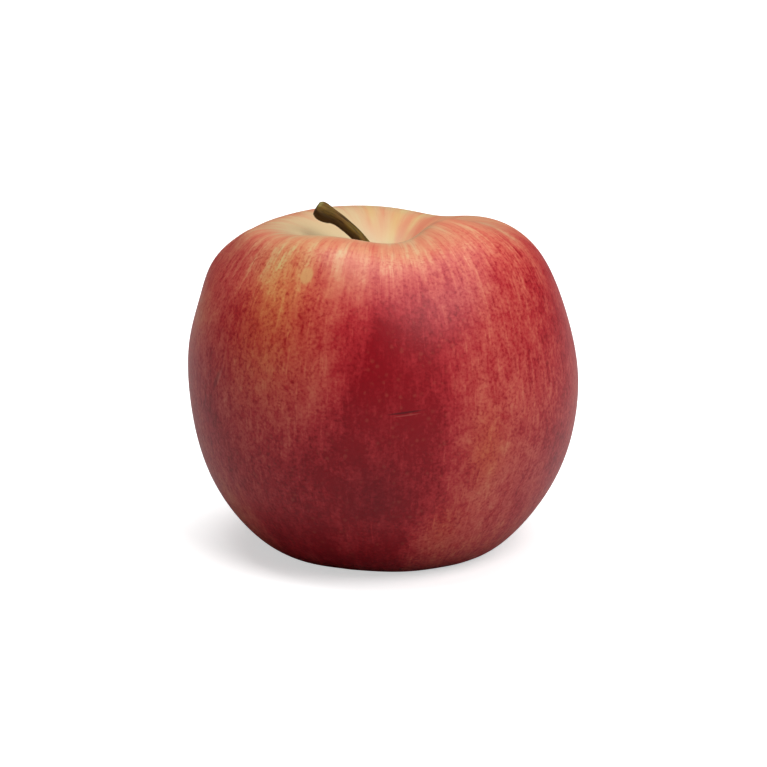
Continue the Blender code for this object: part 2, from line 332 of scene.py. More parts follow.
class Board:
    """The nodes of a material or of the surroundings."""

    def __init__(self, owner: Union[bpy.types.Material, bpy.types.World], shader: str) -> None:
        """Take the owner's nodes.

        Args:
            owner: the material or the surroundings.
            shader: the name of its shader node.
        """
        owner.use_nodes = True
        self.owner = owner
        self.nodes = owner.node_tree.nodes
        self.links = owner.node_tree.links
        self.shader = self.nodes[shader]

    @classmethod
    def for_material(cls, name: str) -> "Board":
        """Start a material with a Principled shader."""
        return cls(bpy.data.materials.new(name), "Principled BSDF")

    @classmethod
    def for_surroundings(cls, name: str) -> "Board":
        """Start the light that comes from all round."""
        return cls(bpy.data.worlds.new(name), "Background")

    def add(
        self,
        kind: str,
        settings: Mapping[str, Any] | None = None,
        values: Mapping[Union[str, int], Input] | None = None,
        output: Union[str, int] = 0,
    ) -> Flow:
        """Add a node.

        Args:
            kind: the node's type.
            settings: its own settings, set first. The setting stops holds a ramp's places and colours.
            values: what goes into its sockets, by their names or numbers.
            output: which of its outputs to return.

        Returns:
            What comes out of the node.
        """
        node = self.nodes.new(kind)
        for name, setting in (settings or {}).items():
            if name == "stops":
                self._set_stops(node.color_ramp, setting)
            else:
                setattr(node, name, setting)
        for name, value in (values or {}).items():
            self.feed(node.inputs[name], value)
        return Flow(self, node.outputs[output])

    def _set_stops(self, ramp: bpy.types.ColorRamp, stops: Sequence[tuple[float, Colour]]) -> None:
        """Give a ramp its stops."""
        while len(ramp.elements) < len(stops):
            ramp.elements.new(1.0)
        for element, (position, colour) in zip(ramp.elements, stops):
            element.position = position
            element.color = (*colour, 1.0)

    def feed(self, socket: bpy.types.NodeSocket, value: Input) -> None:
        """Set a socket, or link it to what flows into it."""
        if isinstance(value, Flow):
            self.links.new(value.socket, socket)
        elif socket.type == "RGBA" and len(value) == 3:
            socket.default_value = (*value, 1.0)
        else:
            socket.default_value = value

    def finish(self, values: Mapping[str, Input]) -> Any:
        """Feed the shader's sockets.

        Args:
            values: what goes into each, by its name.

        Returns:
            The owner of the nodes.
        """
        for name, value in values.items():
            self.feed(self.shader.inputs[name], value)
        return self.owner

    def attribute(self, name: str, output: str = "Fac") -> Flow:
        """What the mesh keeps with its points under that name."""
        return self.add("ShaderNodeAttribute", {"attribute_name": name}, output=output)

    def place(self) -> Flow:
        """The place on the piece, in metres."""
        return self.add("ShaderNodeTexCoord", output="Object")

    def _laid(self, where: Flow, grain: "Grain") -> dict[str, Input]:
        """The sockets that lay a pattern out on a place: the place squeezed and moved, and the scale."""
        squeezed = where.stretched((1.0, 1.0, 1.0 / grain.stretch))
        return {"Vector": squeezed.moved((grain.seed, 0.37 * grain.seed, 0.0)), "Scale": 1.0 / grain.width}

    def noise(self, where: Flow, grain: "Grain") -> Flow:
        """Soft random patches of the grain's size on a place, about 0.5 on average."""
        values = {**self._laid(where, grain), "Detail": grain.detail, "Roughness": grain.roughness}
        return self.add("ShaderNodeTexNoise", None, values)

    def cells(self, where: Flow, grain: "Grain") -> Flow:
        """Distance on a place from the nearest of scattered points, in units of the grain's width."""
        return self.add("ShaderNodeTexVoronoi", {"feature": "F1"}, self._laid(where, grain))

    def blend(self, share: Input, first: Input, second: Input) -> Flow:
        """The first colour where share is 0 and the second where it is 1."""
        settings = {"data_type": "RGBA", "clamp_factor": True}
        return self.add("ShaderNodeMix", settings, {0: share, 6: first, 7: second}, output=2)

    def tinted(self, colour: Flow, tint: Colour) -> Flow:
        """The colour with each of its parts times the tint's."""
        settings = {"data_type": "RGBA", "blend_type": "MULTIPLY", "clamp_factor": True}
        return self.add("ShaderNodeMix", settings, {0: 1.0, 6: colour, 7: tint}, output=2)

    def ramp(self, value: Flow, stops: Sequence[tuple[float, Colour]]) -> Flow:
        """A colour that runs through the stops as the value goes from 0 to 1."""
        return self.add("ShaderNodeValToRGB", {"stops": stops}, {0: value})

    def bump(self, height: Flow, depth: float) -> Flow:
        """A normal for a relief whose height runs from 0 to 1 over that depth."""
        return self.add("ShaderNodeBump", None, {"Height": height, "Distance": depth})


@dataclass(frozen=True)
class Grain:
    """The size and character of a random pattern."""

    width: float
    stretch: float = 1.0  # how many times longer it is along the meridian
    detail: float = 1.0
    roughness: float = 0.5
    seed: float = 0.0


@dataclass(frozen=True)
class Lobe:
    """One of the five lobes that run from the crest down to the feet."""

    azimuth: float
    rise: float  # of the crest
    spread: float  # of the crest away from the axis
    shoulder: float  # swelling of the upper side
    hip: float  # swelling of the lower side


@dataclass(frozen=True)
class Swelling:
    """A slight bump or hollow of the skin, a few millimetres across."""

    azimuth: float
    latitude: float  # degrees above the level of the centre
    height: float


@dataclass(frozen=True)
class Turning:
    """A point of the section where its curve lies level or upright, and how straight it runs there."""

    radius: float
    height: float
    before: tuple[float, float] = (0.0, 0.0)
    after: tuple[float, float] = (0.0, 0.0)


@dataclass(frozen=True)
class FruitForm:
    """The shape of the fruit: an average section, five lobes and slight swellings."""

    crest_radius: float = 19.1 * MM
    crest_height: float = 63.65 * MM
    equator_radius: float = 38.95 * MM
    equator_height: float = 35.65 * MM
    base_radius: float = 17.0 * MM
    cavity_floor: float = 52.1 * MM
    basin_roof: float = 8.5 * MM
    floor_fullness: float = 3.0 * MM
    crest_inner_fullness: float = 10.8 * MM
    crest_outer_fullness: float = 12.8 * MM
    shoulder_fullness: float = 13.6 * MM
    hip_fullness: float = 16.8 * MM
    base_outer_fullness: float = 12.15 * MM
    base_inner_fullness: float = 5.0 * MM
    roof_fullness: float = 5.0 * MM
    lobe_sharpness: float = 6.0
    spread_end: float = 33.0 * MM
    shoulder_height: float = 52.0 * MM
    shoulder_reach: float = 13.0 * MM
    hip_height: float = 15.0 * MM
    hip_reach: float = 12.0 * MM
    foot_reach: float = 5.0 * MM
    arch_rise: float = 1.0 * MM
    flat_depth: float = 0.35 * MM
    pleat_depth: float = 0.45 * MM
    pleat_radius: float = 8.0 * MM
    pleat_reach: float = 4.0 * MM
    swelling_centre: float = 35.0 * MM
    swelling_sharpness: float = 70.0
    pit_radius: float = 2.2 * MM
    stem_pit_depth: float = 1.6 * MM
    calyx_pit_depth: float = 2.2 * MM
    lobes: tuple[Lobe, ...] = (
        Lobe(49, 5.25 * MM, -2.45 * MM, -0.35 * MM, -1.45 * MM),
        Lobe(-27, 3.65 * MM, 2.95 * MM, 0.2 * MM, 0.65 * MM),
        Lobe(-79, 1.9 * MM, 4.0 * MM, 1.1 * MM, 0.45 * MM),
        Lobe(-158, 1.65 * MM, 2.45 * MM, 0.35 * MM, 0.0),
        Lobe(107, 2.0 * MM, -0.25 * MM, -1.65 * MM, 1.55 * MM),
    )
    swellings: tuple[Swelling, ...] = (
        Swelling(-91, 22, -0.55 * MM),
        Swelling(-95, 34, 0.60 * MM),
        Swelling(-97, 39, 0.65 * MM),
        Swelling(-99, 45, -0.70 * MM),
        Swelling(-112, 50, 0.55 * MM),
        Swelling(-130, 48, 0.40 * MM),
        Swelling(-161, 52, -0.30 * MM),
        Swelling(173, 50, 0.10 * MM),
        Swelling(150, 51, -0.50 * MM),
        Swelling(57, -55, 0.20 * MM),
        Swelling(13, -59, 0.35 * MM),
        Swelling(-21, -59, -0.35 * MM),
    )

    def turnings(self) -> tuple[Turning, ...]:
        """The section's turning points, from the cavity's floor to the basin's roof."""
        crest = (-self.crest_inner_fullness, 0.0), (self.crest_outer_fullness, 0.0)
        equator = (0.0, self.shoulder_fullness), (0.0, -self.hip_fullness)
        base = (self.base_outer_fullness, 0.0), (-self.base_inner_fullness, 0.0)
        return (
            Turning(0.0, self.cavity_floor, after=(self.floor_fullness, 0.0)),
            Turning(self.crest_radius, self.crest_height, *crest),
            Turning(self.equator_radius, self.equator_height, *equator),
            Turning(self.base_radius, 0.0, *base),
            Turning(0.0, self.basin_roof, before=(self.roof_fullness, 0.0)),
        )

    def section(self, count: int) -> Array:
        """The average section, a cubic Bezier between each two turning points.

        A span from a to d with handles b and c is (1-t)³a + 3(1-t)²t b + 3(1-t)t²c + t³d.

        Args:
            count: how many points, evenly spaced along it.

        Returns:
            Radius and height of each, from the cavity's floor to the basin's roof.
        """
        t = np.linspace(0.0, 1.0, 200)[:, None]
        spans = []
        points = self.turnings()
        for start, stop in zip(points, points[1:]):
            a = np.array([start.radius, start.height])
            d = np.array([stop.radius, stop.height])
            b = a + start.after
            c = d + stop.before
            spans.append((1 - t) ** 3 * a + 3 * (1 - t) ** 2 * t * b + 3 * (1 - t) * t**2 * c + t**3 * d)
        return evenly(np.vstack([span[:-1] for span in spans] + [spans[-1][-1:]]), count)

    def lobed(self, turn: Array, radius: Array, height: Array) -> tuple[Array, Array]:
        """Raise the five lobes on the turned body, arch the base between its feet and pleat the basin.

        A lobe is a bell exp(k (cos(turn - lobe) - 1)) round its azimuth. It lifts the crest, fully at the
        crest and fading down the cavity and the side, moves it outward, and swells the shoulder and the hip.

        Args:
            turn: angle from +X, in radians.
            radius: distance from the axis.
            height: height on the average section.

        Returns:
            The new radius and height.
        """
        bells = [
            np.exp(self.lobe_sharpness * (np.cos(turn - from_front(lobe.azimuth)) - 1))
            for lobe in self.lobes
        ]
        rise, spread, shoulder, hip = (
            sum(getattr(lobe, part) * bell for lobe, bell in zip(self.lobes, bells))
            for part in ("rise", "spread", "shoulder", "hip")
        )
        between = 1.0 - np.minimum(1.0, sum(bells))
        on_top = height > self.equator_height
        inside = radius < self.crest_radius
        from_axis = smooth_step(radius / self.crest_radius)
        up_side = smooth_step((height - self.equator_height) / (self.crest_height - self.equator_height))
        past_crest = smooth_step((self.spread_end - radius) / (self.spread_end - self.crest_radius))
        crown = np.where(inside & on_top, from_axis, up_side)
        rim = np.where(inside, from_axis, past_crest)
        in_basin = (radius < self.base_radius) & ~on_top
        arch = hump(height, 0.0, self.foot_reach) * (self.arch_rise * between - self.flat_depth)
        pleats = self.pleat_depth * hump(radius, self.pleat_radius, self.pleat_reach) * between
        outward = radius / self.equator_radius
        swell = shoulder * hump(height, self.shoulder_height, self.shoulder_reach) * outward**2
        swell = swell + hip * hump(height, self.hip_height, self.hip_reach) * outward
        swell = swell + spread * rim * on_top
        return radius + swell, height + crown * rise + arch + pleats * in_basin

    def uneven(self, points: Array) -> Array:
        """Add the slight swellings, each a bell exp(k (cos angle - 1)) round its direction from the centre.

        Args:
            points: points by row and column.

        Returns:
            The moved points.
        """
        arm = points - np.array([0.0, 0.0, self.swelling_centre])
        direction = arm / np.linalg.norm(arm, axis=-1, keepdims=True)
        height = np.zeros(points.shape[:-1])
        for swelling in self.swellings:
            top = towards(swelling.azimuth, swelling.latitude)
            height += swelling.height * np.exp(self.swelling_sharpness * (direction @ top - 1))
        return points + direction * height[..., None]

    def pits(self, radius: Array, height: Array) -> Array:
        """How far the skin is drawn in where the stem and the calyx grow out of it.

        Args:
            radius: distance from the axis.
            height: height on the average section.

        Returns:
            The change in height.
        """
        bell = hump(radius, 0.0, self.pit_radius)
        top = height > self.equator_height
        return bell * np.where(top, -self.stem_pit_depth, self.calyx_pit_depth)

    def surface(self, rows: int, columns: int) -> tuple[Array, Array, Array]:
        """The whole skin as a grid of points round the apple's own axis.

        Args:
            rows: points along a meridian.
            columns: meridians.

        Returns:
            The points, the angle from +X of each column, and the length along the section of each row.
        """
        section = self.section(rows)
        turn = full_turn(columns)
        base_radius, base_height = section[:, :1], section[:, 1:]
        radius, height = self.lobed(turn[None, :], base_radius, base_height)
        x, y = radius * np.cos(turn), radius * np.sin(turn)
        points = self.uneven(np.stack([x, y, height], axis=-1))
        points[..., 2] = np.maximum(points[..., 2], 0.0) + self.pits(base_radius, base_height)
        return points, turn, length_along(section)


@dataclass(frozen=True)
class Patch:
    """A soft-edged area of the skin where it departs from the rest."""

    azimuth: float
    down: float  # mm along the skin from the middle of the cavity
    wide: float  # half width, in degrees of azimuth
    tall: float  # half height, in mm along the skin
    amount: float

    def weight(self, azimuth: Array, down: Array) -> Array:
        """A bell exp(-(da / wide)² - (dd / tall)²) round the patch's middle, times its amount.

        Args:
            azimuth: degrees from the front.
            down: mm along the skin from the middle of the cavity.

        Returns:
            What the patch adds at each point.
        """
        turn = (azimuth - self.azimuth + 180.0) % 360.0 - 180.0
        return self.amount * np.exp(-((turn / self.wide) ** 2)) * hump(down, self.down, self.tall)


@dataclass(frozen=True)
class Mark:
    """An oval of another colour on the skin, such as a spot, a scratch or a dark oval of painted shade over
    the deepest of the red.
    """

    azimuth: float
    down: float  # mm along the skin from the middle of the cavity
    wide: float  # half width, in mm
    tall: float  # half height, in mm
    colour: Colour
    strength: float
    soft: float = 0.5  # how much of its radius is soft edge
    lean: float = 0.0  # degrees that its right end is raised


@dataclass(frozen=True)
class SkinFinish:
    """The skin: yellow ground under a red blush that streaks, mottles and specks, with a satin wax. A few of
    its patches and marks are painted highlight, sheen and shade.
    """

    pale: Colour = (0.62, 0.43, 0.235)
    peach: Colour = (0.64, 0.265, 0.145)
    salmon: Colour = (0.60, 0.150, 0.092)
    rose: Colour = (0.53, 0.075, 0.058)
    red: Colour = (0.42, 0.019, 0.026)
    crimson: Colour = (0.268, 0.001, 0.007)
    gold_tint: Colour = (1.00, 1.02, 0.50)
    cream: Colour = (0.50, 0.43, 0.26)
    russet: Colour = (0.30, 0.17, 0.07)
    roughness: float = 0.40
    uneven_roughness: float = 0.15
    refraction: float = 1.36
    relief_depth: float = 0.05 * MM
    blush: float = 0.70
    blush_start: float = 18.0 * MM
    blush_full: float = 42.0 * MM
    basin_start: float = 98.0 * MM
    basin_full: float = 118.0 * MM
    basin_loss: float = 0.40
    deepest: float = 0.97
    patches: tuple[Patch, ...] = (
        # the deep red middle, down to the lower left
        Patch(5, 54, 14, 21, 0.44),
        Patch(-6, 80, 17, 16, 0.42),
        Patch(-16, 70, 12, 12, 0.06),
        Patch(14, 58, 8, 10, 0.04),
        Patch(4, 48, 9, 5, 0.10),
        Patch(-33, 87, 22, 10, 0.17),
        Patch(-22, 90, 22, 8, 0.16),
        # the paler skin above it; the last of these is a painted highlight, paler skin where the soft
        # highlight falls
        Patch(9, 30, 13, 4.5, -0.23),
        Patch(0, 34, 8, 5, -0.07),
        Patch(-18, 34, 6, 5, -0.08),
        Patch(-9, 36, 7, 4, -0.10),
        Patch(-15, 37, 8, 4, -0.07),
        Patch(3, 41, 11, 6, -0.18),
        # the golden side on the left
        Patch(-46, 27, 9, 4, 0.05),
        Patch(-30, 29, 7, 3, -0.05),
        Patch(-37, 35, 13, 7, -0.22),
        Patch(-50, 36, 8, 5, -0.13),
        Patch(-48, 39, 12, 4, -0.07),
        Patch(-32, 40, 12, 4, -0.10),
        Patch(-36, 42, 14, 5, -0.05),
        Patch(-52, 44, 6, 5, 0.10),
        Patch(-36, 53, 13, 10, -0.12),
        # the left edge; its first two patches are painted sheen, paler skin for the grey reflection along
        # the edge
        Patch(-78, 46, 8, 5, -0.10),
        Patch(-76, 48, 9, 6, -0.22),
        Patch(-60, 65, 14, 10, 0.13),
        Patch(-40, 72, 12, 8, 0.07),
        Patch(-42, 72, 14, 9, 0.05),
        Patch(-60, 87, 11, 8, -0.26),
        # the right side
        Patch(60, 31, 12, 4, -0.12),
        Patch(45, 35, 30, 6, 0.13),
        Patch(60, 38, 9, 5, -0.07),
        Patch(48, 41, 20, 5, -0.04),
        Patch(68, 50, 14, 11, 0.13),
        Patch(62, 70, 16, 10, 0.06),
        Patch(68, 74, 10, 9, 0.08),
        Patch(70, 74, 9, 8, 0.06),
        Patch(32, 72, 11, 16, -0.16),
        Patch(25, 76, 14, 10, 0.09),
        Patch(14, 86, 7, 8, -0.14),
        # round the lip
        Patch(-70, 24, 14, 4, 0.13),
        Patch(-12, 24, 14, 3.5, 0.13),
        Patch(0, 25, 7, 3, 0.10),
        Patch(10, 25, 5, 3, -0.05),
        Patch(20, 25, 5, 3, 0.08),
        Patch(42, 24, 14, 4, 0.13),
        Patch(40, 25, 7, 3, -0.08),
        Patch(50, 25, 5, 3, 0.08),
        Patch(40, 19, 22, 5, 0.05),
        Patch(60, 18, 30, 6, 0.10),
        Patch(120, 17, 40, 7, 0.22),
        # the far wall of the cavity
        Patch(146, 16, 8, 7, 0.20),
        Patch(156.5, 19, 3, 5, -0.08),
        Patch(161, 13.5, 15, 5, 0.10),
        Patch(163, 17, 4.5, 8, 0.16),
        Patch(180, 20, 6, 5, 0.12),
        Patch(-168, 14, 9, 3, 0.08),
        Patch(172, 26, 28, 4, -0.13),
        # the back
        Patch(150, 60, 26, 26, -0.14),
        Patch(-135, 62, 22, 24, 0.16),
        Patch(105, 78, 16, 16, 0.10),
    )
    # calm skin with less mottle; the two patches at the left and right edges are painted sheen, where a
    # reflection washes out the mottle
    calm_and_sheen: tuple[Patch, ...] = (
        Patch(2, 54, 18, 18, 0.6),
        Patch(-25, 88, 25, 10, 0.5),
        Patch(-78, 55, 12, 20, 0.6),
        Patch(82, 60, 8, 30, 0.5),
        Patch(-14, 34, 7, 5, 0.7),
    )
    gold: tuple[Patch, ...] = (
        Patch(-37, 43, 17, 14, 1.0),
        Patch(31, 68, 6, 8, 0.7),
        Patch(20, 84, 6, 6, 0.5),
        Patch(155, 55, 24, 20, 0.6),
        Patch(180, 12.5, 10, 3, 0.5),
        Patch(-171, 20, 4, 5, 0.5),
        Patch(171, 17, 5, 8, 0.6),
        Patch(156.5, 19, 3, 6, 0.4),
    )
    green: tuple[Patch, ...] = (
        Patch(-110, 10, 70, 10, 0.6),
        Patch(180, 6, 50, 8, 0.4),
        Patch(0, 4, 180, 6, 0.4),
    )
    marks: tuple[Mark, ...] = (
        # a dark oval low on the front: the deepest red, with painted shade that darkens the lower front
        Mark(-2.0, 76.0, 11.0, 13.0, (0.12, 0.001, 0.005), 0.42, 1.0),
        Mark(-28.0, 36.4, 2.0, 2.1, (0.63, 0.34, 0.13), 0.75, 0.4),
        Mark(5.8, 58.8, 4.2, 0.26, (0.09, 0.002, 0.004), 0.8, lean=6.0),
        Mark(6.3, 59.3, 3.2, 0.18, (0.55, 0.12, 0.10), 0.28, lean=6.0),
        Mark(-56.0, 57.0, 0.6, 2.6, (0.15, 0.008, 0.012), 0.45, lean=-25.0),
        Mark(-54.3, 55.8, 0.4, 2.8, (0.55, 0.16, 0.12), 0.25, lean=-25.0),
        Mark(-63.0, 62.0, 0.4, 1.6, (0.14, 0.008, 0.012), 0.40, lean=-20.0),
    )
    speck_tint: Colour = (0.74, 0.36, 0.42)
    shade_tint: Colour = (0.84, 0.70, 0.72)
    calm_share: float = 0.8
    calm_lines: float = 0.35
    band_depth: float = 0.35
    stripe_depth: float = 0.12
    stripe_on_lip: float = 1.45
    streak_depth: float = 0.21
    streak_on_lip: float = 0.38
    streak_lost_in_gold: float = 0.15
    thread_depth: float = 0.11
    grain_depth: float = 0.55
    blotch_depth: float = 0.50
    cloud_depth: float = 0.32
    gold_share: float = 0.8
    speck_share: float = 0.3
    speck_on_gold: float = 0.6
    hair_share: float = 0.35
    fleck_share: float = 0.16
    band: Grain = Grain(11.0 * MM, 9.0, 1.0, seed=9.0)
    stripe: Grain = Grain(4.2 * MM, 7.0, 3.0, 0.6, seed=1.0)
    streak: Grain = Grain(0.85 * MM, 6.0, 2.0, seed=2.0)
    thread: Grain = Grain(0.62 * MM, 9.0, 1.0, seed=3.0)
    grain: Grain = Grain(0.62 * MM, 1.0, 2.0, 0.6, seed=4.0)
    blotch: Grain = Grain(1.9 * MM, 1.3, 2.0, seed=5.0)
    cloud: Grain = Grain(6.0 * MM, 1.6, 2.0, seed=6.0)
    speck: Grain = Grain(1.35 * MM, 1.0, seed=7.0)
    fleck: Grain = Grain(1.5 * MM, 1.0, seed=8.0)

    def blush_at(self, azimuth: Array, down: Array) -> Array:
        """How red the skin is: a blush that grows over the shoulder and fades in the basin, plus patches.

        Args:
            azimuth: degrees from the front.
            down: length along the skin from the middle of the cavity.

        Returns:
            0 for bare ground and 1 for the deepest red.
        """
        grown = smooth_step((down - self.blush_start) / (self.blush_full - self.blush_start))
        faded = smooth_step((down - self.basin_start) / (self.basin_full - self.basin_start))
        ground = self.blush * grown - self.basin_loss * faded
        patched = ground + sum(patch.weight(azimuth, down / MM) for patch in self.patches)
        return np.minimum(patched, self.deepest)

    def share_at(self, patches: Sequence[Patch], azimuth: Array, down: Array) -> Array:
        """The patches' sum, held between 0 and 1.

        Args:
            patches: the patches.
            azimuth: degrees from the front.
            down: length along the skin from the middle of the cavity.

        Returns:
            The share at each point.
        """
        return np.clip(sum(patch.weight(azimuth, down / MM) for patch in patches), 0.0, 1.0)

    def _marked(self, board: Board, around: Flow, colour: Flow, reach: float) -> Flow:
        """Lay the marks over the colour.

        A mark fades with the length of the place's offset from its middle, each part of it in units of
        the mark's half width or half height.

        Args:
            board: the skin's nodes.
            around: the place on the unrolled skin.
            colour: the colour so far.
            reach: the radius that the skin is unrolled from.

        Returns:
            The colour with its marks.
        """
        for mark in self.marks:
            turn = from_front(mark.azimuth)
            middle = (reach * math.cos(turn), reach * math.sin(turn), mark.down * MM)
            offset = around.moved(tuple(-part for part in middle))
            offset = offset.turned((math.cos(turn), math.sin(turn), 0.0), math.radians(mark.lean))
            scaled = offset.stretched((1 / (mark.wide * MM), 1 / (mark.wide * MM), 1 / (mark.tall * MM)))
            share = scaled.length().step(1.0, 1.0 - mark.soft) * mark.strength
            colour = board.blend(share, colour, mark.colour)
        return colour

    def material(self, reach: float) -> bpy.types.Material:
        """Make the skin's material.

        Args:
            reach: the radius that the skin is unrolled from.

        Returns:
            The material, which reads what Fruit keeps with the points.
        """
        board = Board.for_material("apple_skin")
        around = board.attribute("around", "Vector")
        where = board.place()
        side = board.attribute("side")
        lip = board.attribute("lip")
        gold = board.attribute("gold")
        # less mottle where the skin is calm, and painted sheen at the edges
        lively = (1.0 - board.attribute("calm_and_sheen") * self.calm_share) * side
        band = board.noise(around, self.band) - 0.5
        stripe = board.noise(around, self.stripe) - 0.5
        streak = board.noise(around, self.streak) - 0.5
        thread = board.noise(around, self.thread)
        grain = board.noise(where, self.grain) - 0.5
        blotch = board.noise(around, self.blotch) - 0.5
        cloud = board.noise(around, self.cloud) - 0.5
        streak_depth = self.streak_depth + lip * self.streak_on_lip - gold * self.streak_lost_in_gold
        lines = stripe * (self.stripe_depth + lip * self.stripe_on_lip) + streak * streak_depth
        lines = lines + band * board.attribute("bowl") * self.band_depth
        lines = lines * (self.calm_lines + lively * (1.0 - self.calm_lines))
        red = board.attribute("blush") + lines + cloud * self.cloud_depth
        red = red + lively * (grain * self.grain_depth + blotch * self.blotch_depth)
        red = red - thread.step(0.58, 0.74) * lively * self.thread_depth
        shades = (self.pale, self.peach, self.salmon, self.rose, self.red, self.crimson)
        colour = board.ramp(red.held(), [(k / (len(shades) - 1), shade) for k, shade in enumerate(shades)])
        colour = board.blend(gold * self.gold_share, colour, board.tinted(colour, self.gold_tint))
        speck = board.cells(where, self.speck).step(0.38, 0.10) * (cloud + blotch).step(-0.06, 0.14)
        speck = speck * lively * (self.speck_share + gold * self.speck_on_gold)
        colour = board.blend(speck, colour, board.tinted(colour, self.speck_tint))
        shade = (grain + streak * 0.5).step(0.02, 0.24) * lively
        colour = board.blend(shade, colour, board.tinted(colour, self.shade_tint))
        hair = thread.step(0.42, 0.30) * lip
        colour = board.blend(hair * self.hair_share, colour, board.tinted(colour, self.speck_tint))
        fleck = board.cells(where, self.fleck).step(0.42, 0.08) * blotch.step(-0.05, 0.12) * side
        colour = board.blend(fleck * self.fleck_share, colour, self.salmon)
        colour = board.blend(board.attribute("green"), colour, self.cream)
        colour = board.blend(board.attribute("russet"), colour, self.russet)
        colour = self._marked(board, around, colour, reach)
        return board.finish(
            {
                "Base Color": colour,
                "Roughness": (self.roughness + grain * self.uneven_roughness).held(),
                "Normal": board.bump(grain * 0.5 + cloud, self.relief_depth),
                "IOR": self.refraction,
            }
        )


@dataclass
class Fruit:
    """The body of the apple with its skin."""

    form: FruitForm = field(default_factory=FruitForm)
    finish: SkinFinish = field(default_factory=SkinFinish)
    rows: int = 250
    columns: int = 340
    russet_radius: float = 4.0 * MM
    russet_share: float = 0.7
    lip_middle: float = 26.0 * MM
    lip_inner_reach: float = 7.0 * MM
    lip_outer_reach: float = 12.0 * MM
    bowl_end: float = 18.0 * MM
    bowl_fade: float = 16.0 * MM
    side_start: float = 22.0 * MM
    side_fade: float = 14.0 * MM

    def build(self) -> tuple[bpy.types.Object, Vector]:
        """Build the skin and centre its outline on the origin.

        Returns:
            The fruit, and the place of the apple's own axis on the surface that it stands on.
        """
        points, turn, length = self.form.surface(self.rows, self.columns)
        middle = (points.min(axis=(0, 1)) + points.max(axis=(0, 1))) / 2
        axis = Vector((-middle[0], -middle[1], 0.0))
        mesh = round_mesh("apple_skin", points + np.array(axis))
        self._keep_layout(mesh, points, turn, length)
        return place("apple_skin", mesh, self.finish.material(self.form.equator_radius)), axis

    def _keep_layout(self, mesh: bpy.types.Mesh, points: Array, turn: Array, length: Array) -> None:
        """Keep the streaks' layout and the patches with the points.

        Args:
            mesh: the skin.
            points: its points by row and column, round the apple's own axis.
            turn: the angle from +X of each column.
            length: the length along the section of each row.
        """
        radius = np.hypot(points[..., 0], points[..., 1])
        azimuth, down = np.broadcast_arrays(np.degrees(turn) + 90.0, length[:, None])
        inner_lip = hump(down, self.lip_middle, self.lip_inner_reach)
        outer_lip = hump(down, self.lip_middle, self.lip_outer_reach)
        layers = {
            "around": unrolled(turn, length, self.form.equator_radius),
            "blush": self.finish.blush_at(azimuth, down),
            "calm_and_sheen": self.finish.share_at(self.finish.calm_and_sheen, azimuth, down),
            "gold": self.finish.share_at(self.finish.gold, azimuth, down),
            "lip": np.where(down < self.lip_middle, inner_lip, outer_lip),
            "bowl": 1.0 - smooth_step((down - self.bowl_end) / self.bowl_fade),
            "side": smooth_step((down - self.side_start) / self.side_fade),
            "green": self.finish.share_at(self.finish.green, azimuth, down),
            "russet": hump(radius, 0.0, self.russet_radius) * self.russet_share,
        }
        for name, grid in layers.items():
            keep(mesh, name, at_points(grid))


@dataclass(frozen=True)
class BarkFinish:
    """The stem: ridged brown bark with painted shade on its lower side, olive towards the root, with a green
    cut end.
    """

    brown: Colour = (0.15, 0.075, 0.012)
    dark: Colour = (0.035, 0.014, 0.002)
    olive: Colour = (0.15, 0.11, 0.012)
    green: Colour = (0.34, 0.34, 0.11)
    refraction: float = 1.33
    ridges: Grain = Grain(0.5 * MM, 1.0, 3.0, 0.6, seed=7.0)
    blotches: Grain = Grain(2.2 * MM, 1.0, 2.0, seed=8.0)

    def material(self) -> bpy.types.Material:
        """Make the bark's material.

        Returns:
            The material, which reads the points' attributes grain, under (the painted shade below), root and
            cut.
        """
        board = Board.for_material("stem_bark")
        grain = board.attribute("grain", "Vector")
        ridges = board.noise(grain, self.ridges)
        blotches = board.noise(board.place(), self.blotches)
        colour = board.blend(ridges.step(0.30, 0.60), self.dark, self.brown)
        mossy = blotches.step(0.40, 0.65) * (0.25 + board.attribute("root") * 0.6)
        colour = board.blend(mossy, colour, self.olive)
        # painted shade: the side of the stem that faces down is darkened
        colour = board.blend(board.attribute("under") * 0.75, colour, self.dark)
        colour = board.blend(board.attribute("cut") * (0.55 + ridges * 0.6), colour, self.green)
        return board.finish(
            {
                "Base Color": colour,
                "Roughness": (0.6 + ridges * 0.3).held(),
                "Normal": board.bump(ridges, 0.2 * MM),
                "IOR": self.refraction,
            }
        )


@dataclass(frozen=True)
class StemStation:
    """A point of the stem's centre line, from the apple's axis, with its radius there."""

    x: float
    y: float
    z: float
    radius: float


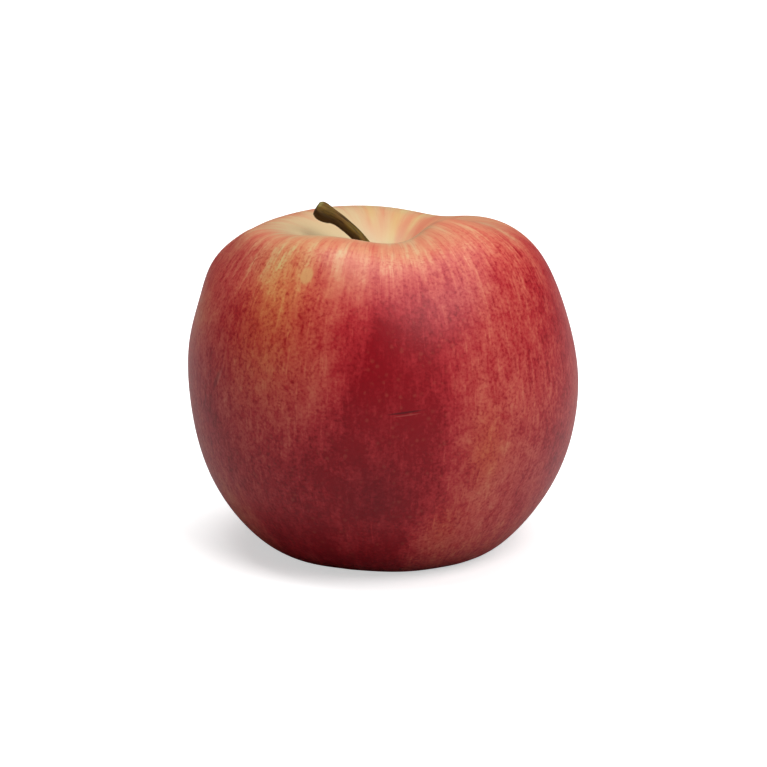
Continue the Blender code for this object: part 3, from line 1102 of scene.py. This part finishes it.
@dataclass
class Stem:
    """The woody stem, bent to the left, with the swollen end where it left the twig."""

    finish: BarkFinish = field(default_factory=BarkFinish)
    rows: int = 170
    columns: int = 64
    cap_rows: int = 14
    ridge_height: float = 0.05
    dome: float = 0.25 * MM
    stations: tuple[StemStation, ...] = (
        StemStation(0.0 * MM, 0.0 * MM, 46.4 * MM, 1.50 * MM),
        StemStation(0.0 * MM, 0.0 * MM, 50.1 * MM, 1.50 * MM),
        StemStation(-0.2 * MM, 0.0 * MM, 53.6 * MM, 1.50 * MM),
        StemStation(-1.8 * MM, 0.1 * MM, 58.4 * MM, 1.30 * MM),
        StemStation(-5.0 * MM, 0.2 * MM, 63.0 * MM, 1.18 * MM),
        StemStation(-8.1 * MM, 0.1 * MM, 66.0 * MM, 1.22 * MM),
        StemStation(-9.8 * MM, 0.0 * MM, 67.2 * MM, 1.36 * MM),
        StemStation(-11.1 * MM, -0.1 * MM, 67.8 * MM, 1.72 * MM),
        StemStation(-12.1 * MM, -0.2 * MM, 68.3 * MM, 1.88 * MM),
        StemStation(-12.8 * MM, -0.3 * MM, 68.75 * MM, 1.78 * MM),
        StemStation(-13.3 * MM, -0.3 * MM, 69.05 * MM, 1.45 * MM),
    )
    cut_facing: tuple[float, float, float] = (-0.40, -0.25, 0.88)
    # the way the side with the painted shade faces
    shade_facing: tuple[float, float, float] = (-0.62, -0.30, -0.72)
    head_length: float = 4.2 * MM
    head_radius: float = 2.0 * MM
    head_rows: int = 42
    root_length: float = 14.0 * MM
    grain_radius: float = 1.3 * MM
    grain_stretch: float = 8.0

    def build(self, axis: Vector) -> bpy.types.Object:
        """Carry an uneven ring along the centre line and close both ends.

        The ring at each place has radius r (1 + ridges), and its centre moves along the curve. At an end it
        shrinks to a point over a slight dome.

        Args:
            axis: the place of the apple's own axis.

        Returns:
            The stem.
        """
        rows = through([(s.x, s.y, s.z, s.radius) for s in self.stations], self.rows)
        centre, radius = rows[:, :3], rows[:, 3]
        forward = np.gradient(centre, axis=0)
        forward /= np.linalg.norm(forward, axis=1, keepdims=True)
        close = np.linspace(1.0, 0.0, self.cap_rows + 1)[1:]
        lead = np.sqrt(1.0 - close**2) * self.dome
        start = centre[0] - forward[0] * lead[::-1, None]
        stop = centre[-1] + forward[-1] * lead[:, None]
        centre = np.vstack([start, centre, stop])
        radius = np.concatenate([radius[0] * close[::-1], radius, radius[-1] * close])
        ends = (np.tile(forward[0], (self.cap_rows, 1)), np.tile(forward[-1], (self.cap_rows, 1)))
        forward = np.vstack([ends[0], forward, ends[1]])
        side = np.cross(forward, [0.0, 1.0, 0.0])
        side /= np.linalg.norm(side, axis=1, keepdims=True)
        front = np.cross(side, forward)
        turn = full_turn(self.columns)
        along = np.linspace(0.0, 1.0, len(radius))[:, None]
        uneven = 1.0 + self.ridge_height * ripple(turn[None, :], along, 11, 12, 9, 2.0)
        ring = radius[:, None, None] * uneven[..., None]
        across = side[:, None] * np.cos(turn)[None, :, None] + front[:, None] * np.sin(turn)[None, :, None]
        points = centre[:, None] + ring * across
        mesh = round_mesh("stem_wood", points + np.array(axis))
        self._keep_layout(mesh, turn, centre, (points - centre[:, None]) / radius.max())
        return place("stem_wood", mesh, self.finish.material())

    def _keep_layout(self, mesh: bpy.types.Mesh, turn: Array, centre: Array, off: Array) -> None:
        """Keep the grain's layout, the root, the painted shade on the underside and the cut end with the
        points.

        Args:
            mesh: the stem.
            turn: the angle of each column.
            centre: the centre line's point for each row.
            off: each point's offset from it, in units of the greatest radius.
        """
        length = length_along(centre)
        from_end = (length[-1] - length)[:, None]
        head = (centre[-1] + centre[-self.head_rows]) / 2
        arm = off + (centre - head)[:, None] / self.head_radius
        cut = smooth_step((arm @ np.array(self.cut_facing) - 0.45) / 0.35)
        layers = {
            "grain": unrolled(turn, length / self.grain_stretch, self.grain_radius),
            "cut": cut * smooth_step(1.5 - from_end / self.head_length),
            # painted shade on the side that faces down
            "under": smooth_step((off @ np.array(self.shade_facing) + 0.05) / 0.45),
            "root": np.broadcast_to(smooth_step(from_end / self.root_length - 0.3), cut.shape),
        }
        for name, grid in layers.items():
            keep(mesh, name, at_points(grid))


@dataclass(frozen=True)
class HuskFinish:
    """The dried flower remains: dark brown, papery and fuzzy."""

    brown: Colour = (0.085, 0.050, 0.024)
    dark: Colour = (0.018, 0.011, 0.006)
    pale: Colour = (0.21, 0.16, 0.10)
    fibres: Grain = Grain(0.35 * MM, 1.0, 3.0, 0.65, seed=9.0)
    blotches: Grain = Grain(1.6 * MM, 1.0, 2.0, seed=10.0)

    def material(self) -> bpy.types.Material:
        """Make the husk's material.

        Returns:
            The material, which reads the points' attribute edge.
        """
        board = Board.for_material("dried_calyx")
        where = board.place()
        fibres = board.noise(where, self.fibres)
        blotches = board.noise(where, self.blotches)
        colour = board.blend(fibres.step(0.35, 0.7), self.dark, self.brown)
        colour = board.blend(blotches.step(0.45, 0.75) * 0.5, colour, self.pale)
        colour = board.blend(board.attribute("edge") * 0.5, colour, self.pale)
        return board.finish(
            {
                "Base Color": colour,
                "Roughness": (0.7 + fibres * 0.3).held(),
                "Normal": board.bump(fibres, 0.12 * MM),
            }
        )


@dataclass
class Calyx:
    """The dried flower in the hollow under the apple: a cup, five curled sepals and the stamens' stubs."""

    finish: HuskFinish = field(default_factory=HuskFinish)
    sepal_turns: tuple[float, ...] = (14.0, 86.0, 158.0, 230.0, 302.0)
    sepal_width: float = 3.3 * MM
    sepal_thickness: float = 0.3 * MM
    sepal_cup: float = 0.5 * MM
    sepal_wave: float = 0.22 * MM
    midrib: tuple[tuple[float, float], ...] = (
        (1.6 * MM, 8.2 * MM),
        (2.3 * MM, 7.0 * MM),
        (3.4 * MM, 6.0 * MM),
        (4.5 * MM, 4.5 * MM),
        (5.6 * MM, 3.7 * MM),
        (6.3 * MM, 3.5 * MM),
    )
    stamens: int = 15
    stamen_radius: float = 0.17 * MM
    anther_radius: float = 0.33 * MM
    stamen_root: float = 8.6 * MM
    stamen_tip: float = 4.5 * MM
    cup_radius: float = 2.45 * MM
    cup_top: float = 10.6 * MM
    cup_mouth: float = 7.2 * MM

    def build(self, axis: Vector) -> list[bpy.types.Object]:
        """Build the cup, the sepals and the stamens.

        Args:
            axis: the place of the apple's own axis.

        Returns:
            The three pieces.
        """
        material = self.finish.material()
        sepals = [self._sepal(math.radians(turn), k) for k, turn in enumerate(self.sepal_turns)]
        threads = [self._stamen(k) for k in range(self.stamens)]
        return [
            self._piece("calyx_cup", [self._cup()], axis, material),
            self._piece("calyx_sepals", sepals, axis, material),
            self._piece("calyx_stamens", threads, axis, material),
        ]

    def _piece(
        self, name: str, grids: Sequence[Array], axis: Vector, material: bpy.types.Material
    ) -> bpy.types.Object:
        """Join closed round grids into one piece.

        Args:
            name: the piece's name.
            grids: the grids of its parts. The fourth value of each point is how near it is to an edge.
            axis: the place of the apple's own axis.
            material: its finish.

        Returns:
            The new piece.
        """
        points: list[Array] = []
        faces: list[list[int]] = []
        for grid in grids:
            part, part_faces = closed_round(grid)
            base = sum(len(some) for some in points)
            faces += [[base + corner for corner in face] for face in part_faces]
            points.append(part)
        every = np.vstack(points)
        mesh = bpy.data.meshes.new(name)
        mesh.from_pydata((every[:, :3] + np.array(axis)).tolist(), [], faces)
        mesh.shade_smooth()
        keep(mesh, "edge", every[:, 3])
        return place(name, mesh, material)

    def _sepal(self, turn: float, which: int) -> Array:
        """A leaf that leans out and curls: an ellipse carried along the midrib.

        At length u the half width is w sin(pi (0.16 + 0.84 u))^0.8, drawn to a point at the tip. A point
        at s from -1 to 1 across it lifts by cup s² and waves by wave s sin(9 u + phase).

        Args:
            turn: its direction, in radians from +X.
            which: its number, which sets how it waves.

        Returns:
            Its closed round grid, with the nearness to an edge as the fourth value.
        """
        rows, columns = 40, 28
        line = through(self.midrib, rows)
        u = np.linspace(0.0, 1.0, rows)
        half = 0.5 * self.sepal_width * np.sin(math.pi * (0.16 + 0.84 * u)) ** 0.8
        half[0] = half[-1] = 0.0
        slope = np.gradient(line, axis=0)
        slope /= np.linalg.norm(slope, axis=1, keepdims=True)
        normal = np.column_stack([-slope[:, 1], slope[:, 0]])
        ring = full_turn(columns)
        s = np.cos(ring)[None, :] * np.ones((rows, 1))
        thick = 0.5 * self.sepal_thickness * np.sin(ring)[None, :] * (half > 0)[:, None]
        phase = 2.1 * which
        lift = self.sepal_cup * s**2 * (half / half.max())[:, None]
        wave = self.sepal_wave * s * np.sin(9.0 * u + phase)[:, None] * (half > 0)[:, None]
        off = thick + lift + wave
        radial = line[:, :1] + normal[:, :1] * off
        height = line[:, 1:] + normal[:, 1:] * off
        side = half[:, None] * s + 0.25 * MM * np.sin(4.0 * u + phase)[:, None]
        x = radial * math.cos(turn) - side * math.sin(turn)
        y = radial * math.sin(turn) + side * math.cos(turn)
        edge = np.maximum(np.abs(s) ** 4, (u**6)[:, None])
        return np.stack([x, y, height, edge], axis=-1)

    def _stamen(self, which: int) -> Array:
        """A bent thread with a knob at its lower end.

        Args:
            which: its number, which sets its place and its lean.

        Returns:
            Its closed round grid, with the nearness to the knob as the fourth value.
        """
        draw = np.random.default_rng(40 + which)
        rows, columns = 26, 12
        turn = which * math.tau / self.stamens * 2 + draw.uniform(-0.3, 0.3)
        root = draw.uniform(0.5, 1.5) * MM
        lean = draw.uniform(0.2, 1.7) * MM
        low = self.stamen_tip + draw.uniform(0.0, 1.6) * MM
        u = np.linspace(0.0, 1.0, rows)
        reach = root + lean * u**2
        angle = turn + draw.uniform(-0.5, 0.5) * u
        centre = np.column_stack(
            [reach * np.cos(angle), reach * np.sin(angle), self.stamen_root + (low - self.stamen_root) * u]
        )
        knob = hump(u, 0.92, 0.09)
        radius = self.stamen_radius + (self.anther_radius - self.stamen_radius) * knob
        radius = radius * np.sqrt(np.clip((1.0 - u) / 0.06, 0.0, 1.0))
        radius[0] = radius[-1] = 0.0
        ring = full_turn(columns)
        x = centre[:, :1] + radius[:, None] * np.cos(ring)[None, :]
        y = centre[:, 1:2] + radius[:, None] * np.sin(ring)[None, :]
        z = np.broadcast_to(centre[:, 2:], x.shape)
        return np.stack([x, y, z, np.broadcast_to(knob[:, None], x.shape)], axis=-1)

    def _cup(self) -> Array:
        """The cup that the sepals stand on: a short ring-shaped mouth with a sunk middle.

        Its section, as radius and height, runs from the top of the plug down its side and up into the
        mouth.

        Returns:
            Its closed round grid, with the nearness to the mouth as the fourth value.
        """
        wide, top, mouth = self.cup_radius, self.cup_top, self.cup_mouth
        line = [
            (0.0, top),
            (0.8 * wide, top - 0.1 * MM),
            (wide, top - 0.6 * MM),
            (wide, 0.5 * (top + mouth)),
            (0.95 * wide, mouth + 0.25 * MM),
            (0.83 * wide, mouth),
            (0.70 * wide, mouth + 0.35 * MM),
            (0.45 * wide, mouth + 1.5 * MM),
            (0.0, mouth + 1.9 * MM),
        ]
        rows, columns = 60, 48
        section = through(line, rows)
        section[0, 0] = section[-1, 0] = 0.0
        turn = full_turn(columns)
        u = np.linspace(0.0, 1.0, rows)[:, None]
        radius = np.maximum(section[:, :1], 0.0) * (1.0 + 0.03 * ripple(turn[None, :], u, 5, 9, 7, 3.0))
        x, y = radius * np.cos(turn), radius * np.sin(turn)
        z = np.broadcast_to(section[:, 1:], x.shape)
        return np.stack([x, y, z, np.zeros_like(x)], axis=-1)


@dataclass(frozen=True)
class Softbox:
    """A square soft light that faces the apple."""

    name: str
    azimuth: float
    elevation: float
    distance: float
    size: float
    power: float

    def put(self, target: Vector) -> None:
        """Put the light into the scene.

        Args:
            target: what it faces.
        """
        arm = Vector(towards(self.azimuth, self.elevation))
        data = bpy.data.lights.new(self.name, "AREA")
        data.size = self.size
        data.energy = self.power
        light = bpy.data.objects.new(self.name, data)
        light.location = target + arm * self.distance
        light.rotation_euler = (-arm).to_track_quat("-Z", "Y").to_euler()
        bpy.context.scene.collection.objects.link(light)


@dataclass
class Studio:
    """The pale floor, the soft lights and the camera."""

    target_height: float = 33.5 * MM
    distance: float = 640.0 * MM
    elevation: float = 15.0
    lens: float = 150.0
    shift: tuple[float, float] = (-0.00104, -0.00163)
    floor_size: float = 6.0
    floor_roughness: float = 0.9
    floor_colour: Colour = (0.86, 0.86, 0.86)
    floor_glow: float = 0.55
    # painted shadow: the card's colour near the apple, its reach and its middle
    card_painted_shadow: Colour = (0.14, 0.14, 0.14)
    card_far: Colour = (0.48, 0.48, 0.48)
    painted_shadow_reach: tuple[float, float] = (26.0 * MM, 44.0 * MM)
    painted_shadow_offset: tuple[float, float, float] = (9.0 * MM, 0.0, 0.0)
    floor_drop: float = 0.02 * MM
    card_drop: float = 0.2 * MM
    sky: float = 0.05
    backdrop: float = 1.0
    lights: tuple[Softbox, ...] = (
        Softbox("top_left", -55.0, 80.0, 1.8, 1.0, 19.0),
        Softbox("top_right", 110.0, 72.0, 1.8, 1.0, 8.5),
        Softbox("side", 42.0, 45.0, 1.4, 1.0, 13.8),
        Softbox("rim", -115.0, 18.0, 1.4, 0.9, 0.3),
    )

    def build(self, axis: Vector) -> None:
        """Set up the floor, the lights, the surroundings and the camera.

        Args:
            axis: the place of the apple's own axis, which the camera aims at.
        """
        target = axis + Vector((0.0, 0.0, self.target_height))
        self._floor()
        self._card()
        self._surroundings()
        for light in self.lights:
            light.put(target)
        self._camera(target)
        bpy.context.scene.view_settings.view_transform = "Standard"

    def _sheet(self, name: str, drop: float, material: bpy.types.Material) -> bpy.types.Object:
        """Lay a flat sheet under the apple.

        Args:
            name: its name.
            drop: how far it lies below the apple.
            material: its finish.

        Returns:
            The sheet.
        """
        half = self.floor_size / 2
        corners = [(-half, -half, -drop), (half, -half, -drop), (half, half, -drop), (-half, half, -drop)]
        mesh = bpy.data.meshes.new(name)
        mesh.from_pydata(corners, [], [(0, 1, 2, 3)])
        sheet = place(name, mesh, material)
        return sheet

    def _floor(self) -> None:
        """Lay the pale floor, which takes the apple's soft shadow."""
        glow = {"Emission Color": WHITE, "Emission Strength": self.floor_glow}
        values = {"Base Color": self.floor_colour, "Roughness": self.floor_roughness, **glow}
        floor = self._sheet("floor", self.floor_drop, Board.for_material("floor").finish(values))
        floor.visible_diffuse = False
        floor.visible_glossy = False
        floor.visible_shadow = False

    def _card(self) -> None:
        """Lay a card under the floor, with a painted shadow: it is dark near the apple. It alone sends light
        back up to the apple.
        """
        board = Board.for_material("bounce_card")
        reach = board.place().moved(self.painted_shadow_offset).length()
        # painted shadow round the apple's foot, fading to the card's own grey
        colour = board.blend(reach.step(*self.painted_shadow_reach), self.card_painted_shadow, self.card_far)
        material = board.finish({"Base Color": colour, "Roughness": self.floor_roughness})
        card = self._sheet("bounce_card", self.card_drop, material)
        card.visible_camera = False

    def _surroundings(self) -> None:
        """A dim studio all round, before a white backdrop."""
        board = Board.for_surroundings("studio")
        seen = board.add("ShaderNodeLightPath", output="Is Camera Ray")
        glow = self.sky + (self.backdrop - self.sky) * seen
        board.finish({"Color": WHITE, "Strength": glow})
        bpy.context.scene.world = board.owner

    def _camera(self, target: Vector) -> None:
        """Add the camera, aimed at the middle of the apple from slightly above.

        Args:
            target: what it aims at.
        """
        data = bpy.data.cameras.new("camera")
        data.lens = self.lens
        data.sensor_width = 36.0
        data.shift_x, data.shift_y = self.shift
        camera = bpy.data.objects.new("camera", data)
        tilt = math.radians(self.elevation)
        back = Vector((0.0, -math.cos(tilt), math.sin(tilt)))
        camera.location = target + back * self.distance
        camera.rotation_euler = back.to_track_quat("Z", "Y").to_euler()
        bpy.context.scene.collection.objects.link(camera)
        bpy.context.scene.camera = camera


class Solid(Enum):
    """The solids of the frame, each with the slot of its finish."""

    FRUIT = ("fruit", "apple_skin")
    STEM = ("stem", "stem_bark")
    CALYX = ("calyx", "dried_calyx")


def report(piece: bpy.types.Object, solid: Solid) -> None:
    """Tie a piece to the frame and report it.

    Args:
        piece: the piece.
        solid: the solid that it stands for.
    """
    node, slot = solid.value
    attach(piece, "root")
    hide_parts(node)
    LOG.info("%s: %d points, stands for %s", piece.name, len(piece.data.vertices), node)


def main() -> None:
    """Build every piece of the apple, then the studio round it."""
    logging.basicConfig(level=logging.INFO, format="%(name)s: %(message)s")
    fruit = Fruit()
    skin, axis = fruit.build()
    report(skin, Solid.FRUIT)
    report(Stem().build(axis), Solid.STEM)
    for piece in Calyx().build(axis):
        report(piece, Solid.CALYX)
    Studio().build(axis)


if __name__ == "__main__":
    main()
